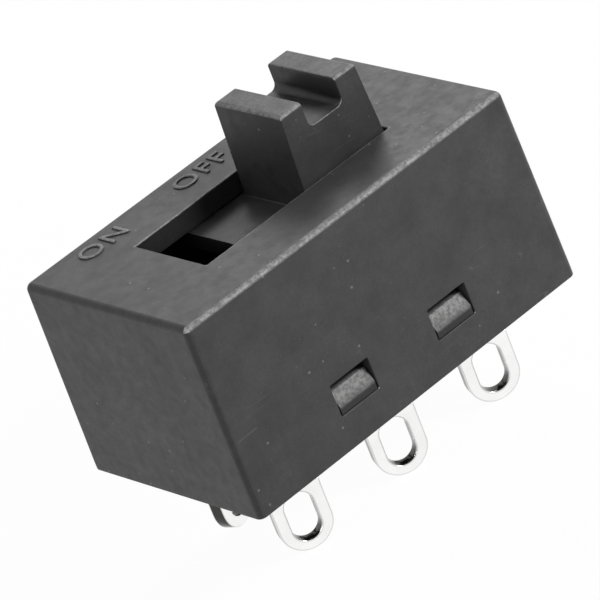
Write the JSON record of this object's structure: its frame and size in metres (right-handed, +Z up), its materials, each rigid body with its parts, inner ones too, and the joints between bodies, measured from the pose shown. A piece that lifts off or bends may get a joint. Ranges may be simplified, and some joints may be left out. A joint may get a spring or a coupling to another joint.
{
  "type": "slide switch",
  "caption": "Black moulded slide switch with a forked knob in a slot, snap-in base and solder lugs with long wire holes; the knob slides between three positions.",
  "frame": {"origin": "under the middle of the housing, on the plane through the tips of the solder lugs", "axes": "+Z up from the lugs to the knob, +X along the housing towards the end at which the knob is drawn, +Y from the near row of lugs to the far row"},
  "size_m": [0.0286, 0.0172, 0.0261],
  "materials": {
    "housing_plastic": "satin black moulded",
    "base_plastic": "satin dark grey moulded",
    "slider_plastic": "satin black moulded",
    "plated_brass": "bright tin plate over brass",
    "contact_silver": "bright silver",
    "contact_bronze": "satin spring bronze",
    "spring_steel": "drawn wire",
    "ball_steel": "polished"
  },
  "bodies": {
    "case": {"housing": "housing_plastic", "base": "base_plastic", "terminal_near_left": "plated_brass", "terminal_near_middle": "plated_brass", "terminal_near_right": "plated_brass", "terminal_far_left": "plated_brass", "terminal_far_middle": "plated_brass", "terminal_far_right": "plated_brass", "stud_near_left": "contact_silver", "stud_near_middle": "contact_silver", "stud_near_right": "contact_silver", "stud_far_left": "contact_silver", "stud_far_middle": "contact_silver", "stud_far_right": "contact_silver"},
    "slider_unit": {"slider": "slider_plastic", "moving_contact_near": "contact_bronze", "moving_contact_far": "contact_bronze", "contact_spring_near": "spring_steel", "contact_spring_far": "spring_steel", "detent_ball": "ball_steel", "detent_spring": "spring_steel"}
  },
  "joints": [
    {"name": "slider_travel", "type": "slide", "parent": "case", "child": "slider_unit", "axis": [1, 0, 0], "range_m": [-0.0086, 0]}
  ]
}
